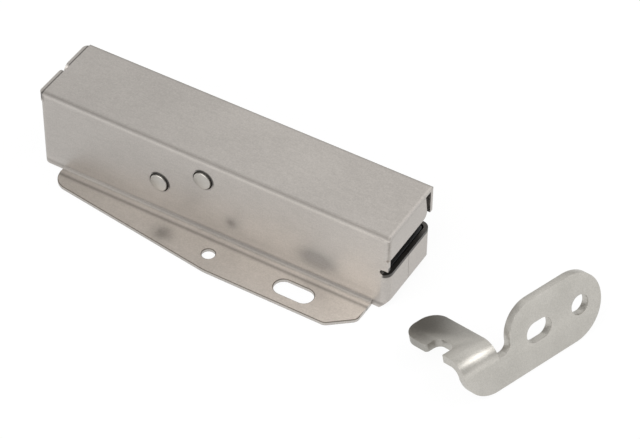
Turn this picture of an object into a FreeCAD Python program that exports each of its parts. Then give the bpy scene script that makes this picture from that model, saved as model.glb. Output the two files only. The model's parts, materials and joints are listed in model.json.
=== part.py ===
import FreeCAD, Part
import math
import os
import re
import Sketcher

# Touch latch: a folded sheet housing with a fixing flange, the spring carriage with its catch
# and push-push follower inside, and the hooked keeper that stands beside it.
# Frame: origin on the mounting plane, on the axis of the flange's round hole.
# +X runs along the housing to its slot, +Y from the flange to the far wall, +Z off the mounting plane.

DIMENSIONS = [
    ("sheet_gauge", 1.0, "housing sheet"),
    ("housing_width", 19.7, "over both side walls"),
    ("housing_height", 22.8, "mounting plane to the top"),
    ("top_length", 92.2, "front face to the rear edge of the top"),
    ("rear_gap", 0.5, "top's rear edge to the rear flaps"),
    ("crease_round", 0.2, "inside radius of the two top creases"),
    ("crease_edge", 0.55, "outside radius of the two top creases"),
    ("upper_corner_round", 0.3, "inside radius of the upper front flap's bend"),
    ("lower_corner_round", 1.1, "inside radius of the lower front flaps' bends"),
    ("rear_corner_round", 0.9, "inside radius of the rear flaps' bends"),
    ("rim_corner_round", 0.4, "inside radius of the rear flaps' bends at their upper end"),
    ("rim_drop", 0.75, "top to the rear flaps' upper edges"),
    ("flap_seam", 0.1, "gap where two folded edges meet"),
    ("seam_inset", 9.4, "near wall to the seam of the lower front flaps"),
    ("rear_seam_inset", 10.4, "near wall to the seam of the rear flaps"),
    ("slot_floor", 10.6, "mounting plane to the lower front flaps' top edge"),
    ("slot_ceiling", 15.3, "mounting plane to the upper front flap's lower edge"),
    ("upper_flap_gap", 1.2, "upper front flap to the far wall, at the slot"),
    ("upper_flap_lean", 1.1, "how much the upper flap's free end leans back at its top"),
    ("flap_round", 1.5, "rounded free corner of the upper front flap"),
    ("rim_round", 2.0, "rounded upper corners of the rear flaps"),
    ("front_flap_lift", 2.2, "mounting plane to the lower front flaps"),
    ("rear_flap_lift", 0.3, "mounting plane to the rear flaps"),
    ("notch_width", 1.6, "relief notch in the near wall"),
    ("notch_depth", 2.2, "relief notch from the front face"),
    ("window_depth", 2.6, "open notch in the far wall from the front face"),
    ("flange_reach", 11.4, "near wall to the flange's long edge"),
    ("flange_round", 0.8, "inside radius of the flange's bend"),
    ("flange_setback", 3.9, "front face to the flange"),
    ("flange_length", 83.8, "flange along the wall"),
    ("flange_nose", 6.6, "near wall to the chamfer's end on the front edge"),
    ("flange_chamfer", 5.9, "chamfer along the front corner"),
    ("flange_parallel", 32.0, "long edge that runs parallel to the wall"),
    ("flange_tail", 5.2, "near wall to the narrow tail's edge"),
    ("flange_tail_round", 4.2, "tail corner"),
    ("hole_inset", 6.5, "near wall to the line of the fixing holes"),
    ("hole_setback", 43.4, "front face to the round fixing hole"),
    ("hole_diameter", 3.2, "round fixing hole"),
    ("slot_pitch", 22.8, "round fixing hole to the slot"),
    ("slot_length", 10.1, "fixing slot end to end"),
    ("slot_width", 4.8, "fixing slot"),
    ("rivet_diameter", 4.5, "rivet shank"),
    ("rivet_window", 5.1, "hole in the near wall round a rivet"),
    ("rivet_stand", 0.5, "rivet proud of the near wall"),
    ("rivet_depth", 1.3, "rivet in the cam block"),
    ("rear_rivet_setback", 15.3, "cam block's front end to the rear rivet"),
    ("rear_rivet_height", 9.7, "mounting plane to the rear rivet"),
    ("front_rivet_setback", 3.3, "cam block's front end to the front rivet"),
    ("front_rivet_height", 16.3, "mounting plane to the front rivet"),
    ("chassis_gauge", 0.8, "chassis sheet"),
    ("chassis_lift", 0.2, "mounting plane to the chassis"),
    ("chassis_round", 0.6, "inside radius of the chassis bends"),
    ("chassis_front_gap", 1.2, "front flaps to the chassis floor"),
    ("chassis_rear_gap", 1.7, "rear flaps to the chassis upright"),
    ("upright_height", 19.0, "mounting plane to the chassis side's top"),
    ("side_setback", 10.4, "front face to the chassis side"),
    ("side_length", 63.0, "chassis side"),
    ("stop_height", 14.0, "mounting plane to the top of the spring upright"),
    ("stop_share", 0.585, "spring upright, as a share of the room"),
    ("lug_setback", 16.4, "front face to the middle of the cam lug"),
    ("lug_length", 2.0, "cam lug along the wall"),
    ("lug_reach", 1.5, "cam lug off the chassis side"),
    ("cam_share", 0.2177, "cam block, as a share of the room between the walls"),
    ("cam_groove", 1.9, "depth of the cam track"),
    ("slide_travel", 8.0, "carriage travel, overtravel included"),
    ("side_gap", 0.3, "carriage to the walls"),
    ("floor_gap", 0.2, "carriage to the chassis floor and to the top"),
    ("front_gap", 0.3, "carriage to the front flaps"),
    ("carriage_length", 40.0, "carriage"),
    ("carriage_rear_length", 8.0, "narrow rear end of the carriage"),
    ("web_share", 0.4177, "near wall to the carriage's narrow rear end, as a share of the room"),
    ("stop_setback", 13.9, "front face to the keeper's stop pad"),
    ("pad_thickness", 1.2, "stop pad"),
    ("lane_share", 0.435, "near wall to the far side of the catch lane, as a share of the room"),
    ("carriage_round", 1.2, "carriage's two front corners"),
    ("rod_diameter", 3.0, "guide rod"),
    ("rod_play", 0.08, "radial running clearance on pins and rod"),
    ("rod_share", 0.694, "near wall to the guide rod, as a share of the room"),
    ("rod_height", 6.4, "mounting plane to the guide rod"),
    ("rod_entry", 12.0, "rod inside the carriage at rest"),
    ("rod_head", 5.0, "guide rod's head"),
    ("spring_share", 0.47, "main spring's outside diameter, as a share of the room"),
    ("spring_wire", 0.9, "main spring wire"),
    ("spring_turns", 9.0, "main spring turns"),
    ("spring_seat", 3.0, "depth of the spring's seat in the carriage"),
    ("cup_flange", 1.2, "spring cup's flange"),
    ("pivot_setback", 24.4, "front face to the catch pivot"),
    ("pivot_share", 0.353, "near wall to the catch pivot, as a share of the room"),
    ("pin_diameter", 2.5, "catch pin and follower pin"),
    ("pin_head", 4.2, "heads of the two pins"),
    ("boss_radius", 3.2, "catch boss"),
    ("catch_swing", 7.5, "catch angle from open to engaged"),
    ("catch_gap", 0.3, "catch to the pocket above and below"),
    ("beam_width", 2.0, "catch beam at its nose"),
    ("beam_inset", 2.9, "near wall's inner face to the engaged beam"),
    ("nose_lead", 17.6, "catch pivot to the back of the nose"),
    ("nose_length", 3.4, "catch nose along the keeper"),
    ("nose_reach", 4.7, "catch nose from the beam's outer edge"),
    ("coil_diameter", 5.6, "catch spring, outside"),
    ("coil_wire", 0.6, "catch spring wire"),
    ("follower_lead", 17.0, "follower pivot back to its peg"),
    ("follower_pivot_lead", 3.9, "carriage rear face to the follower pivot"),
    ("follower_height", 15.5, "mounting plane to the follower pivot"),
    ("follower_drop", 1.1, "peg below the pivot at rest"),
    ("follower_gauge", 1.1, "follower lever"),
    ("leaf_room", 0.3, "leaf spring to the follower lever"),
    ("peg_diameter", 2.0, "follower peg"),
    ("leaf_gauge", 0.3, "leaf spring"),
    ("leaf_width", 3.2, "leaf spring"),
    ("screw_diameter", 2.2, "carriage screws"),
    ("screw_head", 4.0, "carriage screw heads"),
    ("screw_inset", 2.1, "carriage's far side to the screws"),
    ("screw_depth", 8.0, "carriage screws below the parting face"),
    ("screw_sink", 2.0, "carriage top to the screws' seats"),
    ("rear_screw_setback", 30.4, "front face to the rear carriage screw"),
    ("front_screw_setback", 16.8, "front face to the front carriage screw"),
    ("head_depth", 1.2, "screw and pin heads"),
    ("pin_sink", 1.5, "carriage top to the catch pin's head"),
    ("play_round", 0.2, "room round heads, seats and spring ends"),
    ("boss_room", 0.7, "room round the catch boss"),
    ("follower_pin_depth", 5.0, "follower pin in the carriage"),
    ("leaf_length", 15.0, "follower pin back to the leaf's end"),
    ("clip_gauge", 0.8, "catch clip"),
    ("clip_lift", 0.5, "carriage floor to the catch clip"),
    ("coil_room", 2.3, "height of the catch spring's recess"),
    ("coil_turns", 2.0, "catch spring turns"),
    ("cam_lead", 9.0, "follower peg to the cam block's front end"),
    ("cam_length", 22.0, "cam block along the wall"),
    ("cam_low", 5.5, "mounting plane to the cam block"),
    ("cam_height", 14.5, "cam block"),
    ("cam_round", 1.5, "cam block corners"),
    ("track_lead", 1.6, "follower peg to the cam track's front end"),
    ("track_length", 11.2, "cam track along the wall"),
    ("track_low", 8.4, "mounting plane to the cam track"),
    ("track_height", 9.8, "cam track"),
    ("track_round", 1.0, "cam track corners"),
    ("island_setback", 1.6, "follower peg back to the heart island's tip"),
    ("island_height", 12.2, "mounting plane to the heart island's tip"),
    ("island_round", 0.4, "heart island corners"),
    ("keeper_gauge", 2.0, "keeper plate"),
    ("keeper_height", 17.5, "keeper plate"),
    ("keeper_length", 31.7, "bend side to the middle of the round end"),
    ("keeper_end_round", 8.7, "round end"),
    ("keeper_corner", 8.4, "lower corner below the bend"),
    ("corner_slant", 1.8, "how far the side below the bend slopes"),
    ("keeper_fold_height", 7.15, "lower edge to the start of the bend"),
    ("keeper_fold_round", 2.4, "inside radius of the bend"),
    ("ear_round", 7.4, "ear's corner over the bend"),
    ("arm_width", 10.0, "keeper arm"),
    ("arm_reach", 21.0, "plate's front face to the arm's tip"),
    ("arm_round", 4.2, "arm's tip corners"),
    ("arm_relief", 3.5, "relief between the arm and the ear"),
    ("relief_lift", 0.8, "start of the bend to the relief's floor"),
    ("relief_round", 2.0, "relief's corner at the ear"),
    ("hook_length", 8.5, "tip to the notch"),
    ("hook_depth", 3.8, "notch from the arm's edge"),
    ("hook_opening", 4.8, "notch at its root"),
    ("hook_flare", 3.6, "how far the notch's plate side slopes"),
    ("hook_round", 1.7, "notch's inner corners"),
    ("tooth_round", 0.8, "notch's outer corners"),
    ("keeper_hole", 5.0, "keeper's round hole"),
    ("keeper_slot_pitch", 12.2, "keeper's round hole to its slot"),
    ("keeper_slot_length", 7.3, "keeper's slot"),
    ("keeper_slot_width", 5.2, "keeper's slot"),
    ("keeper_hole_lead", 2.45, "keeper's round hole from the middle of the round end"),
    ("keeper_ahead", 84.4, "keeper's round end from the origin, along the housing"),
    ("keeper_aside", 19.7, "keeper's round end from the origin, across the housing"),
    ("keeper_yaw", 70.3, "keeper's plate from the housing's axis"),
    ("keeper_tilt", 15.9, "keeper's plate back from upright"),
]
ALIASES = {name for name, value, note in DIMENSIONS}

# places named after the housing's faces
FRONT = "hole_setback"
NEAR = "hole_inset"
NEAR_IN = "(hole_inset + sheet_gauge)"
FAR = "(hole_inset + housing_width)"
FAR_IN = "(hole_inset + housing_width - sheet_gauge)"
TOP = "housing_height"
TOP_IN = "(housing_height - sheet_gauge)"
FRONT_IN = "(hole_setback - sheet_gauge)"
TOP_REAR = "(hole_setback - top_length)"
REAR_IN = "(hole_setback - top_length - rear_gap)"
REAR = "(hole_setback - top_length - rear_gap - sheet_gauge)"
SEAM = "(hole_inset + seam_inset)"
REAR_SEAM = "(hole_inset + rear_seam_inset)"
FLANGE_FRONT = "(hole_setback - flange_setback)"
FLANGE_REAR = "(hole_setback - flange_setback - flange_length)"

# places inside the housing
SIDE = "(hole_inset + sheet_gauge + chassis_gauge)"
FLOOR = "(chassis_lift + chassis_gauge)"
CORE = "(housing_width - 2 * sheet_gauge)"
CAM_DEPTH = f"(cam_share * {CORE})"
CAM_FACE = f"(hole_inset + sheet_gauge + chassis_gauge + {CAM_DEPTH})"
SLIDE_NEAR = "(hole_inset + sheet_gauge + chassis_gauge + side_gap)"
SLIDE_FAR = "(hole_inset + housing_width - sheet_gauge - side_gap)"
SLIDE_FLOOR = "(chassis_lift + chassis_gauge + floor_gap)"
SLIDE_TOP = "(housing_height - sheet_gauge - floor_gap)"
SLIDE_FRONT = "(hole_setback - sheet_gauge - front_gap)"
SLIDE_REAR = "(hole_setback - sheet_gauge - front_gap - carriage_length)"
SPLIT = "((slot_floor + slot_ceiling) / 2)"
WEB = f"({NEAR_IN} + web_share * {CORE})"
WEB_END = f"({SLIDE_REAR} + carriage_rear_length)"
STOP_FACE = "(hole_setback - stop_setback)"
PAD_BACK = "(hole_setback - stop_setback - pad_thickness)"
LANE = f"({NEAR_IN} + lane_share * {CORE})"
ROD_Y = f"({NEAR_IN} + rod_share * {CORE})"
COIL = f"(spring_share * {CORE})"
PIVOT_X = "(hole_setback - pivot_setback)"
PIVOT_Y = f"({NEAR_IN} + pivot_share * {CORE})"
UPRIGHT = "(hole_setback - top_length - rear_gap + chassis_rear_gap)"
UPRIGHT_FACE = "(hole_setback - top_length - rear_gap + chassis_rear_gap + chassis_gauge)"
FOLLOWER_X = f"({SLIDE_REAR} + follower_pivot_lead)"
PEG_X = f"({SLIDE_REAR} + follower_pivot_lead - follower_lead)"
PEG_Z = "(follower_height - follower_drop)"
LEVER = f"({WEB} - leaf_gauge - leaf_room - follower_gauge)"
CAM_FRONT = f"({PEG_X} + cam_lead)"
LUG_X = "(hole_setback - lug_setback)"

LANE_REAR = f"({PIVOT_X} - boss_radius - boss_room)"
PIN_SEAT = f"({SLIDE_TOP} - head_depth - pin_sink)"
RIVETS = [
    (f"({CAM_FRONT} - rear_rivet_setback)", "rear_rivet_height"),
    (f"({CAM_FRONT} - front_rivet_setback)", "front_rivet_height")]
SCREWS = [
    ("(hole_setback - rear_screw_setback)", f"({SLIDE_FAR} - screw_inset)"),
    ("(hole_setback - front_screw_setback)", f"({SLIDE_FAR} - screw_inset)")]

SPRING_RUNS = 16  # straight runs in one turn of a spring
PLANE_ROLES = {"XY": "XY_Plane", "XZ": "XZ_Plane", "YZ": "YZ_Plane"}
PLANE_SIGNS = {"XY": 1, "XZ": -1, "YZ": 1}

doc = FreeCAD.newDocument("touch_latch")
sheet = doc.addObject("Spreadsheet::Sheet", "dims")


def fill_sheet():
    """Write each driving dimension as a plain number with its alias and note."""
    for row, (name, value, note) in enumerate(DIMENSIONS, start=1):
        sheet.set(f"A{row}", name)
        sheet.set(f"B{row}", str(value))
        sheet.set(f"C{row}", note)
        sheet.setAlias(f"B{row}", name)
    doc.recompute()


def linked(formula):
    """The formula with each alias pointed at the dimension sheet."""
    def point(word):
        return "dims." + word.group() if word.group() in ALIASES else word.group()
    return re.sub(r"[a-z_]+", point, formula)


def measure(formula):
    """The formula's value in millimetres or degrees."""
    return float(sheet.evalExpression(formula))


def new_body(name):
    """An empty body whose label is the sub-part's node name."""
    body = doc.addObject("PartDesign::Body", name)
    body.Label = name
    return body


def hold(sketch, items):
    """Add constraints together, each with the formula that drives it or None."""
    indices = sketch.addConstraint([constraint for constraint, formula in items])
    for index, (constraint, formula) in zip(indices, items):
        if formula is not None:
            sketch.setExpression(f"Constraints[{index}]", linked(formula))


def placed(geometry, end, formulas):
    """Hold one point of the sketch at the place that two formulas give."""
    return [
        (Sketcher.Constraint(kind, -1, 1, geometry, end, measure(formula)), formula)
        for kind, formula in zip(("DistanceX", "DistanceY"), formulas)]


def sized(geometry, formula):
    """Hold the radius of an arc or circle at a formula's value."""
    return (Sketcher.Constraint("Radius", geometry, measure(formula)), formula)


def draw_circle(sketch, x, y, radius):
    """One circle."""
    centre = FreeCAD.Vector(measure(x), measure(y), 0)
    circle = sketch.addGeometry(
        Part.Circle(centre, FreeCAD.Vector(0, 0, 1), measure(radius)), False)
    hold(sketch, placed(circle, 3, (x, y)) + [sized(circle, radius)])


def draw_slot(sketch, ends, radius):
    """A round-ended slot between the centres of its two end arcs."""
    size = measure(radius)
    first, last = [FreeCAD.Vector(measure(x), measure(y), 0) for x, y in ends]
    along = (last - first).normalize()
    across = FreeCAD.Vector(-along.y, along.x, 0)
    side_a = Part.LineSegment(last + across * size, first + across * size)
    side_b = Part.LineSegment(first - across * size, last - across * size)
    arc_a = Part.Arc(first + across * size, first - along * size, first - across * size)
    arc_b = Part.Arc(last - across * size, last + along * size, last + across * size)
    line_a, cap_a, line_b, cap_b = sketch.addGeometry([side_a, arc_a, side_b, arc_b], False)
    items = placed(cap_a, 3, ends[0]) + placed(cap_b, 3, ends[1]) + [sized(cap_a, radius)]
    items.append((Sketcher.Constraint("Equal", cap_a, cap_b), None))
    loop = [(line_a, 2, cap_a, 1), (cap_a, 2, line_b, 1), (line_b, 2, cap_b, 1), (cap_b, 2, line_a, 1)]
    for one, one_end, other, other_end in loop:
        items.append((Sketcher.Constraint("Tangent", one, one_end, other, other_end), None))
    hold(sketch, items)


def round_corner(before, corner, after, radius):
    """The two tangent points and the middle of an arc that rounds a corner."""
    to_before = (before - corner).normalize()
    to_after = (after - corner).normalize()
    half = to_before.getAngle(to_after) / 2
    reach = radius / math.tan(half)
    inward = (to_before + to_after).normalize()
    middle = corner + inward * (radius / math.sin(half) - radius)
    return corner + to_before * reach, middle, corner + to_after * reach


def draw_polygon(sketch, corners):
    """A closed outline: each corner is two formulas, with a third for its rounding radius."""
    points = [FreeCAD.Vector(measure(c[0]), measure(c[1]), 0) for c in corners]
    count = len(corners)
    starts, ends, arcs, turns = [], [], [], []
    for index, corner in enumerate(corners):
        if len(corner) == 3:
            first, middle, last = round_corner(
                points[index - 1], points[index], points[(index + 1) % count], measure(corner[2]))
            left_turn = (points[index] - points[index - 1]).cross(last - points[index]).z > 0
            turns.append((1, 2) if left_turn else (2, 1))
            arcs.append(Part.Arc(first, middle, last) if left_turn else Part.Arc(last, middle, first))
            starts.append(last)
            ends.append(first)
        else:
            arcs.append(None)
            turns.append(None)
            starts.append(points[index])
            ends.append(points[index])
    lines = [
        sketch.addGeometry(Part.LineSegment(starts[i], ends[(i + 1) % count]), False)
        for i in range(count)]
    items = []
    for index, corner in enumerate(corners):
        before = lines[index - 1]
        after = lines[index]
        if arcs[index] is None:
            items.append((Sketcher.Constraint("Coincident", before, 2, after, 1), None))
            items.extend(placed(after, 1, corner[:2]))
            continue
        arc = sketch.addGeometry(arcs[index], False)
        first_end, last_end = turns[index]
        mark = sketch.addGeometry(Part.Point(points[index]), True)
        items.extend([
            (Sketcher.Constraint("Tangent", before, 2, arc, first_end), None),
            (Sketcher.Constraint("Tangent", arc, last_end, after, 1), None),
            sized(arc, corner[2]),
            (Sketcher.Constraint("PointOnObject", mark, 1, before), None),
            (Sketcher.Constraint("PointOnObject", mark, 1, after), None)])
        items.extend(placed(mark, 1, corner[:2]))
    hold(sketch, items)


def draw(sketch, outlines):
    """Draw each outline: a polygon is a plain list, and a round or a slot says so in its first word."""
    for outline in outlines:
        if outline[0] == "circle":
            draw_circle(sketch, *outline[1:])
        elif outline[0] == "slot":
            draw_slot(sketch, *outline[1:])
        else:
            draw_polygon(sketch, outline)


def rectangle(left, right, low, high):
    """A rectangle's four corners."""
    return [(left, low), (right, low), (right, high), (left, high)]


def new_sketch(body, name, plane, start, outlines):
    """A sketch on one of the body's own planes, moved along its normal to a formula's place."""
    sketch = body.newObject("Sketcher::SketchObject", name)
    role = PLANE_ROLES[plane]
    support = [feature for feature in body.Origin.OriginFeatures if feature.Role == role][0]
    sketch.AttachmentSupport = [(support, "")]
    sketch.MapMode = "FlatFace"
    sketch.setExpression("AttachmentOffset.Base.z", linked(f"{PLANE_SIGNS[plane]} * ({start})"))
    draw(sketch, outlines)
    return sketch


def pad(body, name, plane, start, length, outlines):
    """Add material from a place along the plane's axis, towards its positive side."""
    feature = body.newObject("PartDesign::Pad", name)
    feature.Profile = new_sketch(body, name + "_outline", plane, start, outlines)
    feature.Reversed = PLANE_SIGNS[plane] < 0
    feature.setExpression("Length", linked(length))
    return feature


def pocket(body, name, plane, start, length, outlines):
    """Cut from a place along the plane's axis, towards its positive side."""
    doc.recompute()
    before = body.Shape.Volume
    feature = body.newObject("PartDesign::Pocket", name)
    feature.Profile = new_sketch(body, name + "_outline", plane, start, outlines)
    feature.Reversed = PLANE_SIGNS[plane] > 0
    feature.setExpression("Length", linked(length))
    doc.recompute()
    if body.Shape.Volume > before - 1e-6:
        raise ValueError(f"{name} cuts nothing")
    return feature


def fold(body, name, low, height, wall, corner, flap_end, inside_round):
    """A wall that turns into an end flap round an upright bend.

    wall is (start x, outer y, inner y), corner is (outer x, inner x).
    """
    start, outer_y, inner_y = wall
    outer_x, inner_x = corner
    outline = [
        (start, outer_y), (outer_x, outer_y, f"{inside_round} + sheet_gauge"), (outer_x, flap_end),
        (inner_x, flap_end), (inner_x, inner_y, inside_round), (start, inner_y)]
    pad(body, name, "XY", low, height, [outline])


def make_housing():
    """The folded sheet: flange, near wall, top, far wall and the five end flaps."""
    body = new_body("housing")
    section = [
        (f"{NEAR} - flange_reach", "0"), (NEAR_IN, "0", "flange_round + sheet_gauge"),
        (NEAR_IN, TOP_IN, "crease_round"), (FAR_IN, TOP_IN, "crease_round"), (FAR_IN, "0"), (FAR, "0"),
        (FAR, TOP, "crease_edge"), (NEAR, TOP, "crease_edge"), (NEAR, "sheet_gauge", "flange_round"),
        (f"{NEAR} - flange_reach", "sheet_gauge")]
    pad(body, "channel", "YZ", FLANGE_REAR, "flange_length", [section])
    band_low = f"({TOP_IN} - crease_round)"
    band = [
        (NEAR, band_low), (NEAR_IN, band_low), (f"{NEAR_IN} + crease_round", TOP_IN),
        (f"{FAR_IN} - crease_round", TOP_IN), (FAR_IN, band_low), (FAR, band_low),
        (FAR, TOP, "crease_edge"), (NEAR, TOP, "crease_edge")]
    pad(body, "top_sheet", "YZ", TOP_REAR, "top_length", [band])
    add_front_flaps(body, band_low)
    add_rear_flaps(body, band_low)
    cut_flange(body)
    pocket(body, "rivet_windows", "XZ", f"{NEAR} - sheet_gauge", "3 * sheet_gauge",
           [("circle", x, z, "rivet_window / 2") for x, z in RIVETS])
    return body


def add_front_flaps(body, band_low):
    """Two lower flaps that meet at the middle, and the upper flap under the top's front edge."""
    near_wall = (FLANGE_FRONT, NEAR, NEAR_IN)
    far_wall = (FLANGE_FRONT, FAR, FAR_IN)
    corner = (FRONT, FRONT_IN)
    fold(body, "near_lower_flap", "0", "slot_floor", near_wall, corner,
         f"{SEAM} - flap_seam / 2", "lower_corner_round")
    fold(body, "far_lower_flap", "0", "slot_floor", far_wall, corner,
         f"{SEAM} + flap_seam / 2", "lower_corner_round")
    outside = f"{FRONT} + sheet_gauge"
    past_floor = "-sheet_gauge"
    bend_start = f"{FRONT} - lower_corner_round - sheet_gauge"
    pocket(body, "foot_slope", "XZ", f"{NEAR} - sheet_gauge", "housing_width + 2 * sheet_gauge",
           [[(bend_start, past_floor), (outside, past_floor), (outside, "front_flap_lift"),
             (FRONT, "front_flap_lift"), (bend_start, "0")]])
    pocket(body, "flap_foot", "YZ", f"{FRONT_IN} - lower_corner_round / 2", "2 * sheet_gauge",
           [rectangle(f"{NEAR_IN} + lower_corner_round", f"{FAR_IN} - lower_corner_round",
                      past_floor, "front_flap_lift")])
    slot_height = "slot_ceiling - slot_floor"
    pad(body, "near_slot_wall", "XZ", NEAR, "sheet_gauge",
        [[(FLANGE_FRONT, "slot_floor"), (f"{FRONT} - flap_seam", "slot_floor"),
          (f"{FRONT} - flap_seam", "slot_ceiling"), (FLANGE_FRONT, "slot_ceiling")]])
    pad(body, "far_slot_wall", "XZ", FAR_IN, "sheet_gauge",
        [rectangle(FLANGE_FRONT, f"{FRONT} - window_depth", "slot_floor", "slot_ceiling")])
    pad(body, "far_upper_wall", "XZ", FAR_IN, "sheet_gauge",
        [rectangle(FLANGE_FRONT, FRONT, "slot_ceiling", band_low)])
    bend_end = f"{NEAR_IN} + upper_corner_round + sheet_gauge"
    fold(body, "upper_flap_bend", "slot_ceiling", f"{band_low} - flap_seam / 2 - slot_ceiling",
         near_wall, corner, bend_end, "upper_corner_round")
    flap_top = f"{TOP_IN} - flap_seam / 2"
    far_end = f"{FAR_IN} - upper_flap_gap"
    pad(body, "upper_flap", "YZ", FRONT_IN, "sheet_gauge",
        [[(f"{NEAR_IN} + upper_corner_round", "slot_ceiling"), (far_end, "slot_ceiling", "flap_round"),
          (f"{far_end} - upper_flap_lean", flap_top), (f"{NEAR_IN} + upper_corner_round", flap_top)]])
    notch_line = "(slot_floor + notch_width / 2)"
    pocket(body, "relief_notch", "XZ", f"{NEAR} - sheet_gauge", "2.5 * sheet_gauge",
           [("slot", [(f"{FRONT} - notch_depth + notch_width / 2", notch_line),
                      (f"{FRONT} + notch_width", notch_line)], "notch_width / 2")])


def add_rear_flaps(body, band_low):
    """Two rear flaps that meet at the middle and stand behind the top's rear edge."""
    corner = (REAR, REAR_IN)
    height = f"{band_low} - rear_flap_lift"
    rim_low = f"({band_low} - rim_round)"
    rim_top = f"({TOP} - rim_drop)"
    rim_start = f"{TOP_REAR} - flap_seam / 4"
    near_end = f"({REAR_SEAM} - flap_seam / 2)"
    far_end = f"({REAR_SEAM} + flap_seam / 2)"
    for side, outer, inner, end in [("near", NEAR, NEAR_IN, near_end), ("far", FAR, FAR_IN, far_end)]:
        fold(body, side + "_rear_flap", "rear_flap_lift", height, (FLANGE_REAR, outer, inner), corner,
             end, "rear_corner_round")
        fold(body, side + "_rear_rim", rim_low, f"{rim_top} - {rim_low}", (rim_start, outer, inner), corner,
             end, "rim_corner_round")
    corners = [
        [(near_end, rim_low), (near_end, rim_top, "rim_round"), (f"{near_end} - 2 * rim_round", rim_top),
         (f"{near_end} - 2 * rim_round", f"{TOP} + sheet_gauge"),
         (f"{REAR_SEAM} - flap_seam / 4", f"{TOP} + sheet_gauge"), (f"{REAR_SEAM} - flap_seam / 4", rim_low)],
        [(far_end, rim_low), (far_end, rim_top, "rim_round"), (f"{far_end} + 2 * rim_round", rim_top),
         (f"{far_end} + 2 * rim_round", f"{TOP} + sheet_gauge"),
         (f"{REAR_SEAM} + flap_seam / 4", f"{TOP} + sheet_gauge"), (f"{REAR_SEAM} + flap_seam / 4", rim_low)]]
    pocket(body, "rim_corners", "YZ", f"{REAR} - sheet_gauge", "2.5 * sheet_gauge", corners)


def cut_flange(body):
    """Trim the flange to its outline and pierce its hole and slot."""
    edge = f"({NEAR} - flange_reach)"
    outside = f"({NEAR} - flange_reach - sheet_gauge)"
    nose_x = f"({FLANGE_FRONT} - flange_chamfer)"
    pocket(body, "flange_nose", "XY", "-sheet_gauge", "3 * sheet_gauge",
           [[(nose_x, edge, "2 * sheet_gauge"), (FLANGE_FRONT, f"{NEAR} - flange_nose", "2 * sheet_gauge"),
             (FLANGE_FRONT, f"{NEAR} - sheet_gauge"), (f"{FRONT} + sheet_gauge", f"{NEAR} - sheet_gauge"),
             (f"{FRONT} + sheet_gauge", outside), (f"{nose_x} - flange_chamfer", outside),
             (f"{nose_x} - flange_chamfer", edge)]])
    taper_start = f"({FLANGE_FRONT} - flange_chamfer - flange_parallel)"
    tail_edge = f"({NEAR} - flange_tail)"
    behind = f"({FLANGE_REAR} - sheet_gauge)"
    pocket(body, "flange_taper", "XY", "-sheet_gauge", "3 * sheet_gauge",
           [[(f"{taper_start} + flange_chamfer", outside), (f"{taper_start} + flange_chamfer", edge),
             (taper_start, edge, "10 * sheet_gauge"), (FLANGE_REAR, tail_edge, "flange_tail_round"),
             (FLANGE_REAR, f"{NEAR} - sheet_gauge / 4"), (behind, f"{NEAR} - sheet_gauge / 4"), (behind, outside)]])
    slot_half = "(slot_length - slot_width) / 2"
    pocket(body, "fixing_holes", "XY", "-sheet_gauge", "3 * sheet_gauge",
           [("circle", "0", "0", "hole_diameter / 2"),
            ("slot", [(f"slot_pitch - {slot_half}", "0"), (f"slot_pitch + {slot_half}", "0")], "slot_width / 2")])


def make_chassis():
    """The inner sheet: floor, near side with its cam lug, and the upright that holds the rod."""
    body = new_body("chassis")
    side_front = "(hole_setback - side_setback)"
    side_rear = "(hole_setback - side_setback - side_length)"
    far_edge = f"({FAR_IN} - chassis_lift / 2)"
    section = [
        (NEAR_IN, "upright_height"), (NEAR_IN, "chassis_lift", "chassis_round + chassis_gauge"),
        (far_edge, "chassis_lift"), (far_edge, FLOOR), (SIDE, FLOOR, "chassis_round"), (SIDE, "upright_height")]
    pad(body, "floor_and_side", "YZ", side_rear, "side_length", [section])
    bend_end = f"{SIDE} + chassis_round"
    front_edge = f"{FRONT_IN} - chassis_front_gap"
    pad(body, "floor_front", "XY", "chassis_lift", "chassis_gauge",
        [rectangle(side_front, front_edge, bend_end, far_edge)])
    upright = [
        (UPRIGHT, "stop_height"), (UPRIGHT, "chassis_lift", "chassis_round + chassis_gauge"),
        (side_rear, "chassis_lift"), (side_rear, FLOOR), (UPRIGHT_FACE, FLOOR, "chassis_round"),
        (UPRIGHT_FACE, "stop_height")]
    pad(body, "spring_upright", "XZ", f"{ROD_Y} - stop_share * {CORE} / 2", f"stop_share * {CORE}", [upright])
    pad(body, "cam_lug", "XZ", SIDE, "lug_reach",
        [rectangle(f"{LUG_X} - lug_length / 2", f"{LUG_X} + lug_length / 2",
                   "slot_floor + catch_gap", "slot_ceiling - catch_gap")])
    pocket(body, "rod_hole", "YZ", f"{UPRIGHT} - chassis_gauge", "3 * chassis_gauge",
           [("circle", ROD_Y, "rod_height", "rod_diameter / 2")])
    pocket(body, "rivet_holes", "XZ", f"{NEAR_IN} - chassis_gauge / 2", "2 * chassis_gauge",
           [("circle", x, z, "rivet_diameter / 2") for x, z in RIVETS])
    return body


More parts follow.
